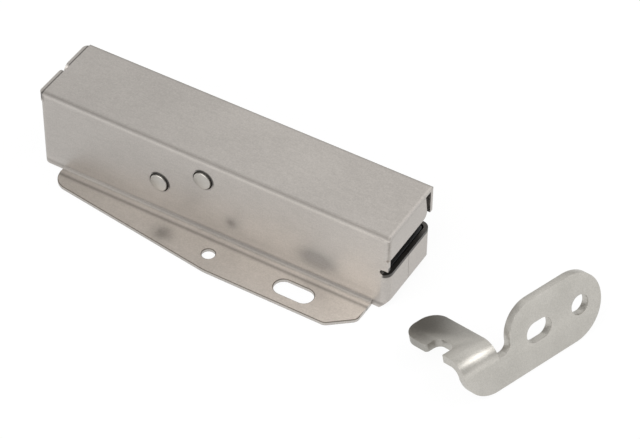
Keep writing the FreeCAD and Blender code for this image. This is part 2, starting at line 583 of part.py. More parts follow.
def make_cam_block():
    """The block that carries the heart track and the two rivets' blind holes."""
    body = new_body("cam_block")
    rear = f"({CAM_FRONT} - cam_length)"
    block = [(x, z, "cam_round") for x, z in rectangle(rear, CAM_FRONT, "cam_low", "cam_low + cam_height")]
    pad(body, "block", "XZ", SIDE, CAM_DEPTH, [block])
    pocket(body, "rivet_seats", "XZ", f"{SIDE} - 1", "rivet_depth + 1",
           [("circle", x, z, "rivet_diameter / 2") for x, z in RIVETS])
    track_front = f"({PEG_X} + track_lead)"
    track_rear = f"({PEG_X} + track_lead - track_length)"
    track_top = "(track_low + track_height)"
    track = [
        (track_rear, "track_low", "track_round"), (f"{track_front} - 2 * track_round", "track_low"),
        (track_front, "track_low + 3 * track_round"), (track_front, f"{track_top} - 2 * track_round"),
        (f"{track_front} - 2 * track_round", track_top), (track_rear, track_top, "track_round"),
        (track_rear, "track_low + track_height / 2 + 2 * track_round"),
        (f"{track_rear} + track_round", "track_low + track_height / 2 + track_round"),
        (track_rear, "track_low + track_height / 2")]
    tip_x = f"({PEG_X} - island_setback)"
    offsets = [(0, 0), (-1.4, 1.7), (-4.2, 2.5), (-3.3, 1.0), (-4.2, -0.6), (-2.0, -1.2)]
    island = [(f"{tip_x} + ({x})", f"island_height + ({z})", "island_round") for x, z in offsets]
    pocket(body, "heart_track", "XZ", f"{CAM_FACE} - cam_groove", "cam_groove + 1", [track, island])
    return body


def make_rivet(name, place):
    """A flush rivet from the near wall into the cam block."""
    body = new_body(name)
    pad(body, "shank", "XZ", f"{NEAR} - rivet_stand",
        "rivet_stand + sheet_gauge + chassis_gauge + rivet_depth",
        [("circle", place[0], place[1], "rivet_diameter / 2")])
    return body


def make_guide_rod():
    """The rod from the upright into the carriage."""
    body = new_body("guide_rod")
    pad(body, "rod", "YZ", UPRIGHT, f"{SLIDE_REAR} + rod_entry - {UPRIGHT}",
        [("circle", ROD_Y, "rod_height", "rod_diameter / 2")])
    pad(body, "head", "YZ", f"{UPRIGHT} - 1", "1", [("circle", ROD_Y, "rod_height", "rod_head / 2")])
    return body


def make_spring_cup():
    """The flanged bush that centres the main spring on the upright."""
    body = new_body("spring_cup")
    pad(body, "flange", "YZ", UPRIGHT_FACE, "cup_flange",
        [("circle", ROD_Y, "rod_height", f"{COIL} / 2 + play_round")])
    pad(body, "spigot", "YZ", UPRIGHT_FACE, "3 * cup_flange",
        [("circle", ROD_Y, "rod_height", f"{COIL} / 2 - spring_wire - play_round")])
    pocket(body, "bore", "YZ", f"{UPRIGHT_FACE} - 1", "3 * cup_flange + 2",
           [("circle", ROD_Y, "rod_height", "rod_diameter / 2")])
    return body


def make_spring(name, frame, height, turns, diameter, wire):
    """A coil of wire: a section swept along a helix that is divided into short equal runs."""
    radius = (measure(diameter) - measure(wire)) / 2
    runs = round(measure(turns) * SPRING_RUNS)
    rise = measure(height) / runs
    points = [
        FreeCAD.Vector(0, 0, rise * run) + FreeCAD.Rotation(FreeCAD.Vector(0, 0, 1), run * 360 / SPRING_RUNS)
        .multVec(FreeCAD.Vector(radius, 0, 0)) for run in range(runs + 1)]
    path = doc.addObject("Part::Feature", name + "_path")
    path.Shape = Part.makePolygon(points)
    section = doc.addObject("Part::RegularPolygon", name + "_wire")
    section.Polygon = 6
    section.setExpression("Circumradius", linked(f"{wire} / 2"))
    section.Placement = FreeCAD.Placement(
        points[0], FreeCAD.Rotation(FreeCAD.Vector(0, 0, 1), points[1] - points[0]))
    coil = doc.addObject("Part::Sweep", name)
    coil.Label = name
    coil.Sections = [section]
    coil.Spine = (path, [f"Edge{run + 1}" for run in range(runs)])
    coil.Solid = True
    coil.Transition = "Right corner"
    turn, place = frame
    coil.Placement.Rotation = turn
    for axis, formula in zip("xyz", place):
        coil.setExpression(f"Placement.Base.{axis}", linked(formula))
    return coil


def carriage_outline():
    """The carriage in plan, with its narrow rear end."""
    return [
        (SLIDE_REAR, WEB), (WEB_END, WEB), (WEB_END, SLIDE_NEAR),
        (SLIDE_FRONT, SLIDE_NEAR, "carriage_round / 2"), (SLIDE_FRONT, SLIDE_FAR, "carriage_round"),
        (SLIDE_REAR, SLIDE_FAR)]


def cut_keeper_pocket(body, low, height):
    """The keeper's pocket and the catch's lane beside it, in one half of the carriage."""
    past_front = f"{SLIDE_FRONT} + 1"
    beside = f"{SLIDE_NEAR} - 1"
    pocket(body, "keeper_pocket", "XY", low, height,
           [[(PAD_BACK, LANE), (PAD_BACK, f"{SLIDE_FAR} + 1"), (past_front, f"{SLIDE_FAR} + 1"),
             (past_front, beside), (LANE_REAR, beside), (LANE_REAR, LANE)]])
    pocket(body, "boss_room", "XY", low, height,
           [("circle", PIVOT_X, PIVOT_Y, "boss_radius + boss_room")])


def make_carriage_base():
    """The lower carriage half: rod bore, spring seat, screw holes and the catch pin's lower hole."""
    body = new_body("carriage_base")
    pad(body, "block", "XY", SLIDE_FLOOR, f"{SPLIT} - {SLIDE_FLOOR}", [carriage_outline()])
    cut_keeper_pocket(body, "slot_floor", f"{SPLIT} - slot_floor + 1")
    pocket(body, "rod_bore", "YZ", f"{SLIDE_REAR} - 1", "rod_entry + slide_travel + 2",
           [("circle", ROD_Y, "rod_height", "rod_diameter / 2 + rod_play")])
    pocket(body, "spring_seat_bore", "YZ", f"{SLIDE_REAR} - 1", "spring_seat + 1",
           [("circle", ROD_Y, "rod_height", f"{COIL} / 2 + play_round")])
    pocket(body, "pin_hole", "XY", f"{SLIDE_FLOOR} - 1", f"{SPLIT}",
           [("circle", PIVOT_X, PIVOT_Y, "pin_diameter / 2")])
    pocket(body, "clip_room", "XY", f"{SLIDE_FLOOR} - 1", "1 + clip_lift + clip_gauge",
           [("circle", PIVOT_X, PIVOT_Y, "pin_head / 2 + play_round")])
    pocket(body, "screw_holes", "XY", f"{SPLIT} - screw_depth", "screw_depth + 1",
           [("circle", x, y, "screw_diameter / 2") for x, y in SCREWS])
    return body


def make_carriage_cap():
    """The upper carriage half: screw seats, pin head seat, catch spring recess and follower pin hole."""
    body = new_body("carriage_cap")
    pad(body, "block", "XY", SPLIT, f"{SLIDE_TOP} - {SPLIT}", [carriage_outline()])
    cut_keeper_pocket(body, f"{SPLIT} - 1", f"slot_ceiling - {SPLIT} + 1")
    pocket(body, "coil_recess", "XY", "slot_ceiling - 1", "coil_room + 1",
           [("circle", PIVOT_X, PIVOT_Y, "coil_diameter / 2 + boss_room")])
    pocket(body, "pin_hole", "XY", "slot_ceiling", f"{SLIDE_TOP} - slot_ceiling + 1",
           [("circle", PIVOT_X, PIVOT_Y, "pin_diameter / 2")])
    pocket(body, "pin_head_seat", "XY", PIN_SEAT, f"{SLIDE_TOP} - {PIN_SEAT} + 1",
           [("circle", PIVOT_X, PIVOT_Y, "pin_head / 2 + play_round")])
    pocket(body, "screw_holes", "XY", f"{SPLIT} - 1", f"{SLIDE_TOP} - {SPLIT} + 2",
           [("circle", x, y, "screw_diameter / 2") for x, y in SCREWS])
    pocket(body, "screw_seats", "XY", f"{SLIDE_TOP} - screw_sink", "screw_sink + 1",
           [("circle", x, y, "screw_head / 2 + play_round") for x, y in SCREWS])
    pocket(body, "follower_pin_hole", "XZ", f"{WEB} - 1", "1 + follower_pin_depth",
           [("circle", FOLLOWER_X, "follower_height", "pin_diameter / 2")])
    return body


def make_carriage_screws():
    """The two screws that close the carriage, as one repeated fastener."""
    body = new_body("carriage_screws")
    pad(body, "shanks", "XY", f"{SPLIT} - screw_depth + play_round",
        f"{SLIDE_TOP} - screw_sink - {SPLIT} + screw_depth - play_round",
        [("circle", x, y, "screw_diameter / 2") for x, y in SCREWS])
    pad(body, "heads", "XY", f"{SLIDE_TOP} - screw_sink", "head_depth",
        [("circle", x, y, "screw_head / 2") for x, y in SCREWS])
    return body


def make_catch_pin():
    """The catch's pivot pin."""
    body = new_body("catch_pin")
    pad(body, "shank", "XY", f"{SLIDE_FLOOR} + play_round", f"{PIN_SEAT} - {SLIDE_FLOOR} - play_round",
        [("circle", PIVOT_X, PIVOT_Y, "pin_diameter / 2")])
    pad(body, "head", "XY", PIN_SEAT, "head_depth", [("circle", PIVOT_X, PIVOT_Y, "pin_head / 2")])
    return body


def make_catch_clip():
    """The ring that keeps the catch pin in the carriage."""
    body = new_body("catch_clip")
    pad(body, "ring", "XY", f"{SLIDE_FLOOR} + clip_lift", "clip_gauge",
        [("circle", PIVOT_X, PIVOT_Y, "pin_head / 2"), ("circle", PIVOT_X, PIVOT_Y, "pin_diameter / 2")])
    return body


def make_stop_pad():
    """The soft pad that meets the keeper's tip."""
    body = new_body("stop_pad")
    low = "(slot_floor + catch_gap)"
    pad(body, "pad", "YZ", PAD_BACK, "pad_thickness",
        [rectangle(f"{LANE} + play_round", f"{SLIDE_FAR} - play_round", low, "slot_ceiling - catch_gap")])
    return body


def make_catch():
    """The swinging catch, drawn engaged and turned back about its pivot to the open place."""
    body = new_body("catch")
    low = "slot_floor + catch_gap"
    height = "slot_ceiling - slot_floor - 2 * catch_gap"
    beam_edge = f"({NEAR_IN} + beam_inset)"
    tip_x = f"({PIVOT_X} + nose_lead + nose_length)"
    heel_x = f"({PIVOT_X} + nose_lead)"
    land_x = f"({PIVOT_X} + nose_lead - beam_width / 2)"
    inner = f"({beam_edge} + beam_width)"
    reach = f"({beam_edge} + nose_reach)"
    root_x = f"({LUG_X} - lug_length / 2)"
    rise = "(lug_length + slide_travel) * 0.13"
    pad(body, "arm", "XY", low, height,
        [[(PIVOT_X, f"{PIVOT_Y} - boss_radius"), (root_x, f"{beam_edge} + {rise}"), (land_x, beam_edge),
          (tip_x, f"{beam_edge} + beam_width / 4", "beam_width / 4"),
          (tip_x, f"{reach} - beam_width", "beam_width / 4"),
          (f"{heel_x} + beam_width / 2", reach, "beam_width / 4"), (heel_x, reach, "beam_width / 8"),
          (heel_x, inner), (root_x, f"{inner} + {rise}"), (PIVOT_X, f"{PIVOT_Y} + boss_radius / 2")]])
    pad(body, "boss", "XY", low, height, [("circle", PIVOT_X, PIVOT_Y, "boss_radius")])
    pocket(body, "bore", "XY", "slot_floor", "slot_ceiling - slot_floor",
           [("circle", PIVOT_X, PIVOT_Y, "pin_diameter / 2 + rod_play")])
    body.Placement.Rotation = FreeCAD.Rotation(FreeCAD.Vector(0, 0, -1), measure("catch_swing"))
    body.setExpression("Placement.Rotation.Angle", linked("catch_swing * 1 deg"))
    body.setExpression("Placement.Base.x", linked(
        f"{PIVOT_X} - {PIVOT_X} * cos(catch_swing) - {PIVOT_Y} * sin(catch_swing)"))
    body.setExpression("Placement.Base.y", linked(
        f"{PIVOT_Y} + {PIVOT_X} * sin(catch_swing) - {PIVOT_Y} * cos(catch_swing)"))
    return body


def make_follower():
    """The lever that carries the peg round the heart track."""
    body = new_body("follower")
    ends = [(PEG_X, PEG_Z), (FOLLOWER_X, "follower_height")]
    pad(body, "lever", "XZ", LEVER, "follower_gauge", [("slot", ends, "peg_diameter * 0.8")])
    pad(body, "boss", "XZ", LEVER, "follower_gauge",
        [("circle", FOLLOWER_X, "follower_height", "pin_diameter + rod_play")])
    pocket(body, "bore", "XZ", f"{LEVER} - 1", "follower_gauge + 2",
           [("circle", FOLLOWER_X, "follower_height", "pin_diameter / 2 + rod_play")])
    pocket(body, "peg_hole", "XZ", f"{LEVER} - 1", "follower_gauge + 2",
           [("circle", PEG_X, PEG_Z, "peg_diameter / 2")])
    return body


def make_follower_peg():
    """The peg that runs in the heart track."""
    body = new_body("follower_peg")
    pad(body, "peg", "XZ", f"{CAM_FACE} - cam_groove + leaf_gauge",
        f"{LEVER} + follower_gauge - {CAM_FACE} + cam_groove - leaf_gauge",
        [("circle", PEG_X, PEG_Z, "peg_diameter / 2")])
    return body


def make_follower_pin():
    """The follower's pivot pin in the carriage cap."""
    body = new_body("follower_pin")
    pad(body, "shank", "XZ", f"{LEVER} - play_round", f"{WEB} + follower_pin_depth - {LEVER}",
        [("circle", FOLLOWER_X, "follower_height", "pin_diameter / 2")])
    pad(body, "head", "XZ", f"{LEVER} - play_round - leaf_gauge", "leaf_gauge",
        [("circle", FOLLOWER_X, "follower_height", "pin_head / 2")])
    return body


def make_leaf_spring():
    """The leaf behind the follower."""
    body = new_body("leaf_spring")
    half = "leaf_width / 2"
    pad(body, "leaf", "XZ", f"{WEB} - leaf_gauge", "leaf_gauge",
        [("slot", [(f"{FOLLOWER_X} - leaf_length", "follower_height"),
                   (f"{FOLLOWER_X} + 1", "follower_height")], half),
         ("circle", FOLLOWER_X, "follower_height", "pin_diameter / 2")])
    return body


def make_keeper():
    """The hooked plate: a pierced upright plate with an arm bent forward and notched."""
    body = new_body("keeper")
    left = "(-keeper_length)"
    arm_right = "(-keeper_length + arm_width)"
    ear = "(-keeper_length + arm_width + arm_relief)"
    under = "(keeper_fold_height + keeper_fold_round)"
    over = "(keeper_fold_height + keeper_fold_round + keeper_gauge)"
    end = "(keeper_height / 2)"
    relief_floor = "(keeper_fold_height + relief_lift)"
    plate = [
        (f"{left} + corner_slant", "0", "keeper_corner"), (end, "0", "keeper_end_round"), (end, "keeper_height", "keeper_end_round"),
        (ear, "keeper_height", "ear_round"), (ear, relief_floor, "relief_round"), (arm_right, relief_floor),
        (arm_right, "keeper_fold_height"), (left, "keeper_fold_height")]
    pad(body, "plate", "XZ", "0", "keeper_gauge", [plate])
    bend_low = "keeper_fold_height - keeper_gauge / 10"
    bend = [
        ("keeper_gauge", bend_low), ("0", bend_low),
        ("0", over, "keeper_fold_round + keeper_gauge"), ("2 * keeper_fold_round + keeper_gauge", over),
        ("2 * keeper_fold_round + keeper_gauge", under), ("keeper_gauge", under, "keeper_fold_round")]
    pad(body, "bend", "YZ", left, "arm_width", [bend])
    start = "(keeper_gauge + keeper_fold_round)"
    tooth = "(arm_reach - hook_length)"
    root = "(-keeper_length + hook_depth)"
    arm = [
        (arm_right, start), (arm_right, "arm_reach", "arm_round"), (left, "arm_reach", "arm_round"),
        (left, tooth, "tooth_round"), (root, tooth, "hook_round"),
        (root, f"{tooth} - hook_opening", "hook_round"),
        (left, f"{tooth} - hook_opening - hook_flare", "tooth_round"), (left, start)]
    pad(body, "arm", "XY", under, "keeper_gauge", [arm])
    slot_half = "(keeper_slot_length - keeper_slot_width) / 2"
    slot_x = "(keeper_hole_lead - keeper_slot_pitch)"
    middle = "keeper_height / 2"
    pocket(body, "keeper_holes", "XZ", "-keeper_gauge", "3 * keeper_gauge",
           [("circle", "keeper_hole_lead", middle, "keeper_hole / 2"),
            ("slot", [(f"{slot_x} - {slot_half}", middle), (f"{slot_x} + {slot_half}", middle)],
             "keeper_slot_width / 2")])
    lift = FreeCAD.Rotation(FreeCAD.Vector(1, 0, 0), -measure("keeper_tilt"))
    yaw = FreeCAD.Rotation(FreeCAD.Vector(0, 0, 1), measure("keeper_yaw"))
    body.Placement.Rotation = yaw.multiply(lift)
    body.setExpression("Placement.Base.x", linked("keeper_ahead"))
    body.setExpression("Placement.Base.y", linked("keeper_aside"))
    body.setExpression("Placement.Base.z", linked("keeper_gauge * sin(keeper_tilt)"))
    return body


fill_sheet()
make_housing()
make_keeper()
make_chassis()
make_cam_block()
make_rivet("rear_rivet", RIVETS[0])
make_rivet("front_rivet", RIVETS[1])
make_guide_rod()
make_spring_cup()
along_x = FreeCAD.Rotation(FreeCAD.Vector(0, 1, 0), 90)
upright_turn = FreeCAD.Rotation()
spring_start = f"({UPRIGHT_FACE} + cup_flange + spring_wire / 2)"
make_spring("main_spring", (along_x, (spring_start, ROD_Y, "rod_height")),
            f"({SLIDE_REAR} + spring_seat - spring_wire / 2 - {spring_start})",
            "spring_turns", COIL, "spring_wire")
make_carriage_base()
make_carriage_cap()
make_carriage_screws()
make_catch_pin()
make_catch_clip()
make_spring("catch_spring", (upright_turn, (PIVOT_X, PIVOT_Y, "slot_ceiling + coil_wire / 2 + play_round")),
            "(coil_room - coil_wire - 2 * play_round)", "coil_turns", "coil_diameter", "coil_wire")
make_stop_pad()
make_follower_pin()
make_leaf_spring()
make_catch()
make_follower()
make_follower_peg()
doc.recompute()

NODES = [
    "housing", "keeper", "chassis", "cam_block", "rear_rivet", "front_rivet", "guide_rod", "spring_cup",
    "main_spring", "carriage_base", "carriage_cap", "carriage_screws", "catch_pin", "catch_clip",
    "catch_spring", "stop_pad", "follower_pin", "leaf_spring", "catch", "follower", "follower_peg"]
for obj in doc.Objects:
    if "Invalid" in obj.State or "Error" in obj.State:
        raise ValueError(f"{obj.Name}: {obj.State}")
os.makedirs("parts", exist_ok=True)
for node in NODES:
    shape = doc.getObjectsByLabel(node)[0].Shape
    if not shape.isValid() or shape.Volume <= 0:
        raise ValueError(f"{node} isn't a sound solid")
    shape.exportStep(f"parts/{node}.step")
    box = shape.BoundBox
    print(f"{node}: {len(shape.Solids)} solid(s), {shape.Volume:.1f} mm3,"
          f" x {box.XMin:.2f} {box.XMax:.2f}, y {box.YMin:.2f} {box.YMax:.2f}, z {box.ZMin:.2f} {box.ZMax:.2f}")
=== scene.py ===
"""Looks of the touch latch: dull stainless sheet, tumbled keeper plate and the parts inside."""
import json
import math

import bmesh
import bpy
import numpy as np
from mathutils import Matrix, Vector


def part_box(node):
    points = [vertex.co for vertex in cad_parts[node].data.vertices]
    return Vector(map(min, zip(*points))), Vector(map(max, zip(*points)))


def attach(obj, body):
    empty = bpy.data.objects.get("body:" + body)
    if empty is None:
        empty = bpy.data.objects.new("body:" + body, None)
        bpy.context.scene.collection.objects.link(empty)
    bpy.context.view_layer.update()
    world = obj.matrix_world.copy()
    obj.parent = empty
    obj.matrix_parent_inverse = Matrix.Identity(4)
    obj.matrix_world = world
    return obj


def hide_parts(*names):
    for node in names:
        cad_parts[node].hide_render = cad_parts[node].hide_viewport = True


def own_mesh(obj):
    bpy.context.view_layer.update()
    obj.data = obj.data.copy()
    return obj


MM = 0.001
SHARP = math.radians(32)
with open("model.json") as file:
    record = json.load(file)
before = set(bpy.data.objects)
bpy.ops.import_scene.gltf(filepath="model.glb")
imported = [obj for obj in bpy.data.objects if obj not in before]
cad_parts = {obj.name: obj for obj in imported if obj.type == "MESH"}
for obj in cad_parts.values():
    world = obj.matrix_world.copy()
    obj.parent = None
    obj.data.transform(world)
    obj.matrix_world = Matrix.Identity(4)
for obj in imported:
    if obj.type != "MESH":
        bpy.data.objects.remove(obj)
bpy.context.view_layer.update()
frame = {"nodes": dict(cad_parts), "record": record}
nodes = frame["nodes"]
scene = bpy.context.scene

# The housing's box is in metres, like all boxes of the frame. The other places and widths of the
# finishes are in millimetres: the far wall's outside is the box's high Y, and the flange reaches
# past the near wall, whose outside is WALL.
HOUSING_LOW, HOUSING_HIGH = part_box("housing")
HOUSING_WIDTH = 19.7
HOUSING_TOP = HOUSING_HIGH[2] / MM
HOUSING_HALF = HOUSING_WIDTH / 2
HOUSING_MIDDLE = HOUSING_HIGH[1] / MM - HOUSING_HALF
WALL = HOUSING_MIDDLE - HOUSING_HALF
SLOT_FLOOR = 10.6
FLANGE_START = WALL - 1.6
FOLD_INSET = 0.16
# Painted reflections: where the two dark smudges on the near wall and the one on the flange sit.
WALL_REFLECTION_X, WALL_REFLECTION_Z = 24.8, 6.3
SMALL_REFLECTION_X, SMALL_REFLECTION_Z = 2.2, 6.4
FLANGE_REFLECTION_X, FLANGE_REFLECTION_Y = -12.4, 0.1
CONTACT_RADIUS = 2.6
CRESCENT_RADIUS = 3.05
CRESCENT_X, CRESCENT_Z = 0.16, 0.24

MAIN_WIRE, MAIN_TURNS, MAIN_END_PITCH = 0.9 * MM, 11.0, 0.95 * MM
CATCH_WIRE, CATCH_TURNS, CATCH_END_PITCH = 0.6 * MM, 2.0, 0.62 * MM
COIL_STEPS = 48
BEVEL_SEGMENTS = 3

PHOTO_WIDTH = 640
FOCAL_PIXELS = 2810.5
CAMERA_DISTANCE = 652.2 * MM
FLOOR_HALF = 1.6
FLOOR_DROP = 0.00002


class Wire:
    """One output socket of a material; sums, products and comparisons of wires add Math nodes."""

    def __init__(self, tree, socket):
        self.tree = tree
        self.socket = socket

    def math(self, operation, *values):
        node = self.tree.nodes.new("ShaderNodeMath")
        node.operation = operation
        for slot, value in zip(node.inputs, values):
            plug(self.tree, slot, value)
        return Wire(self.tree, node.outputs[0])

    def __add__(self, other):
        return self.math("ADD", self, other)

    __radd__ = __add__

    def __sub__(self, other):
        return self.math("SUBTRACT", self, other)

    def __rsub__(self, other):
        return self.math("SUBTRACT", other, self)

    def __mul__(self, other):
        return self.math("MULTIPLY", self, other)

    __rmul__ = __mul__

    def __truediv__(self, other):
        return self.math("DIVIDE", self, other)

    def __pow__(self, other):
        return self.math("POWER", self, other)

    def clamp(self):
        return self.math("MINIMUM", self.math("MAXIMUM", self, 0.0), 1.0)

    def absolute(self):
        return self.math("ABSOLUTE", self)

    def exp(self):
        return self.math("EXPONENT", self)


def bell(*offsets):
    """1 where all offsets are 0, falling off as a bell curve; each offset is a distance and a width."""
    total = 0.0
    for distance, width in offsets:
        share = distance / width
        total = share * share + total
    return (-1.0 * total).exp()


def past(value, edge, width):
    """0 below an edge and 1 above it, half way at the edge, over a soft width."""
    return ((value - edge) / width + 0.5).clamp()


def plug(tree, slot, value):
    """Link a wire to a socket, or write a plain value into it."""
    if isinstance(value, Wire):
        tree.links.new(value.socket, slot)
    else:
        slot.default_value = value


class Finish:
    """A material under construction: its tree, its shader and its object coordinates."""

    def __init__(self, name):
        self.material = bpy.data.materials.new(name)
        self.material.use_nodes = True
        self.tree = self.material.node_tree
        self.shader = self.tree.nodes["Principled BSDF"]
        self.place = self.node("ShaderNodeTexCoord", out="Object")

    def node(self, kind, settings=None, values=None, out=0):
        """Add a node: its settings first, then the values or wires of its sockets."""
        made = self.tree.nodes.new(kind)
        for key, value in (settings or {}).items():
            setattr(made, key, value)
        for key, value in (values or {}).items():
            plug(self.tree, made.inputs[key], value)
        return Wire(self.tree, made.outputs[out])

    def axes(self):
        """Where a point of the surface is, as three wires in millimetres."""
        split = self.tree.nodes.new("ShaderNodeSeparateXYZ")
        plug(self.tree, split.inputs[0], self.place)
        return [Wire(self.tree, split.outputs[axis]) / MM for axis in range(3)]

    def noise(self, scale, detail=3.0, roughness=0.5, stretch=(1.0, 1.0, 1.0), distortion=0.0):
        """Fractal noise over the piece; scale is in cycles per metre, stretch makes it streaky."""
        where = self.node("ShaderNodeMapping", values={"Vector": self.place, "Scale": stretch})
        return self.node("ShaderNodeTexNoise", values={
            "Vector": where, "Scale": scale, "Detail": detail, "Roughness": roughness,
            "Distortion": distortion})

    def blend(self, factor, first, second):
        """A colour between two colours."""
        return self.node("ShaderNodeMix", {"data_type": "RGBA"},
                         {0: factor, 6: first, 7: second}, out=2)

    def bump(self, height, strength, distance):
        """A surface normal from a height."""
        return self.node("ShaderNodeBump", values={
            "Height": height, "Strength": strength, "Distance": distance})

    def set(self, **values):
        """Write or link the shader's own sockets; underscores stand for spaces."""
        for key, value in values.items():
            plug(self.tree, self.shader.inputs[key.replace("_", " ")], value)
        return self.material


def colour(red, green, blue):
    """An opaque colour."""
    return (red, green, blue, 1.0)


def sheet_tones(make):
    """The even look of dull cold-rolled stainless: broad clouds, a faint rolling grain along X and
    fine specks. Gives the tone, 0 dark to 1 light, and the grain for the relief."""
    clouds = make.noise(34.0, 4.0, 0.6, distortion=0.4)
    grain = make.noise(1500.0, 3.0, 0.6, stretch=(0.25, 1.0, 1.0))
    specks = make.noise(2600.0, 2.0, 0.7)
    tone = ((clouds - 0.5) * 1.3 + (grain - 0.5) * 0.8 + (specks - 0.5) * 2.0 + 0.5).clamp()
    return tone, grain * 0.4 + specks * 0.6


def satin_sheet(name, light, dark, roughness):
    """Dull sheet with only its own even tone, for the chassis; its near-black colours are painted shade.
    """
    make = Finish(name)
    tone, relief = sheet_tones(make)
    return make.set(
        Base_Color=make.blend(tone, dark, light), Metallic=1.0,
        Roughness=(roughness - 0.03 + tone * 0.06).clamp(), Normal=make.bump(relief, 0.15, 0.00004))


def housing_sheet(name, light, dark, roughness):
    """The housing's sheet. The metal is dull, and duller where it was folded: along both top creases
    and along the flange's root, where painted shade darkens it too. A painted highlight is a pale line
    under the creases, and a painted shade line runs along the flange near its root. Two soft dark
    smudges on the near wall and one on the flange are painted reflections; the upper and low wall, the
    flange's nose, the top's front edge and the sheet towards the front are lighter as painted light."""
    make = Finish(name)
    tone, relief = sheet_tones(make)
    x, y, z = make.axes()
    wander = (make.noise(220.0, 2.0, 0.5) - 0.5) * 2.2
    aside = (y - HOUSING_MIDDLE).absolute()
    on_side = past(aside, HOUSING_HALF - 0.3, 0.2)
    on_flange = past(WALL - 0.25 - y, 0.0, 0.3)
    on_wall = past(z, 1.6, 0.4) * past(WALL + 0.6 - y, 0.0, 0.3)
    # Painted shade along both top creases, where the sheet is folded.
    crease = bell((aside - (HOUSING_HALF - FOLD_INSET), 0.42), (z - (HOUSING_TOP - FOLD_INSET), 0.42))
    # Painted highlight: a pale line on the side wall under the top crease.
    crease_highlight = bell((z - (HOUSING_TOP - 1.15), 0.45)) * on_side
    # Painted light: the upper side wall is lighter.
    upper_wall_light = past(z, 12.0, 12.0) * on_side
    # Painted light: the low part of the near wall is lighter.
    low_wall_light = bell((z - 1.6, 1.7)) * on_wall
    # Painted highlight along the top's front edge.
    front_edge_highlight = bell((x - HOUSING_HIGH[0] / MM + 0.25, 0.3)) * past(z, HOUSING_TOP - 0.3, 0.2)
    # Painted shade in the concave fold at the flange's root, darker towards the front.
    root = bell((y - (WALL - 0.3), 0.55), (z - 1.35, 0.5))
    # Painted shade: a dark line along the flange near its root.
    flange_shade_line = bell((y - (WALL - 2.3), 0.5)) * on_flange
    # Painted reflections: two soft dark smudges on the near wall and one on the flange.
    wall_reflection = (bell((x - WALL_REFLECTION_X + wander * 0.5, 4.7), (z - WALL_REFLECTION_Z, 2.7)) * 1.5).clamp()
    small_wall_reflection = bell((x - SMALL_REFLECTION_X + wander, 1.6), (z - SMALL_REFLECTION_Z, 1.5))
    flange_reflection = bell((x - FLANGE_REFLECTION_X + wander, 2.2), (y - FLANGE_REFLECTION_Y, 2.0)) * on_flange
    # All these are painted light and shade, multiplied into the base colour; the flange's nose is
    # painted lighter too.
    painted_light_and_shade = 1.0
    for change in (
            crease * -0.26, root * (past(x, -23.0, 28.0) * -0.19 - 0.09), flange_shade_line * -0.42,
            wall_reflection * on_wall * -0.27, small_wall_reflection * on_wall * -0.34, flange_reflection * -0.38, low_wall_light * 0.07,
            front_edge_highlight * 0.2, crease_highlight * 0.21 + upper_wall_light * 0.05,
            on_flange * past(x, 15.0, 20.0) * 0.08, shaded_gaps(x, y, z) * -0.8):
        painted_light_and_shade = (change + 1.0) * painted_light_and_shade
    # Painted light: the whole sheet is lighter towards the front.
    front_light = past(x, 0.0, 90.0)
    factor = make.node("ShaderNodeCombineColor", values={
        "Red": painted_light_and_shade * (0.92 + front_light * 0.13), "Green": painted_light_and_shade * (0.92 + front_light * 0.125),
        "Blue": painted_light_and_shade * (0.925 + front_light * 0.12)})
    base = make.node("ShaderNodeMix", {"data_type": "RGBA", "blend_type": "MULTIPLY"},
                     {0: 1.0, 6: make.blend(tone, dark, light), 7: factor}, out=2)
    bent = (crease + root).clamp()
    return make.set(
        Base_Color=base, Metallic=1.0,
        Roughness=(roughness - 0.03 + tone * 0.06 + bent * 0.42).clamp(),
        Normal=make.bump(relief, 0.15, 0.00004))


def shaded_gaps(x, y, z):
    """1 on the narrow faces that light hardly reaches: the slot's sheared edge, the inside of the
    relief notch, the rear flaps' rims, and a crescent and a contact line at each rivet."""
    front, rear = HOUSING_HIGH[0] / MM, HOUSING_LOW[0] / MM
    on_wall = past(WALL + 0.6 - y, 0.0, 0.2)
    sheared = bell((z - SLOT_FLOOR, 0.35)) * past(x, front - 1.0, 0.2)
    notch = (
        past(x, front - 3.2, 0.4) * past(y, WALL + 0.08, 0.1)
        * past(z, SLOT_FLOOR - 0.9, 0.3) * past(SLOT_FLOOR + 2.6 - z, 0.0, 0.3))
    rim = bell((x - rear - 0.95, 0.28)) * past(z, HOUSING_TOP - 2.5, 0.5)
    shade = sheared + notch + rim
    for node in ("rear_rivet", "front_rivet"):
        low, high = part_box(node)
        across = x - (low[0] + high[0]) / 2 / MM
        above = z - (low[2] + high[2]) / 2 / MM
        shifted, raised = across - CRESCENT_X, above - CRESCENT_Z
        ring = (shifted * shifted + raised * raised) ** 0.5
        seat = (across * across + above * above) ** 0.5
        below = past(-1.0 * above - across * 0.4, 0.3, 1.0)
        over = past(above * 0.8 + across * 0.45, 0.6, 1.2)
        contact = bell((seat - CONTACT_RADIUS, 0.2)) * below
        crescent = past(CRESCENT_RADIUS - ring, 0.25, 0.25) * over
        shade = shade + (contact * 0.45 + crescent) * on_wall
    return shade.clamp()


def cut_edge(name, light, dark, roughness):
    """Rolled-over cut edges: darker and duller than the sheet, with a sheared streak."""
    make = Finish(name)
    streaks = make.noise(2400.0, 3.0, 0.6)
    return make.set(
        Base_Color=make.blend(streaks, dark, light), Metallic=1.0,
        Roughness=(roughness - 0.05 + streaks * 0.1).clamp(),
        Normal=make.bump(streaks, 0.12, 0.00004))


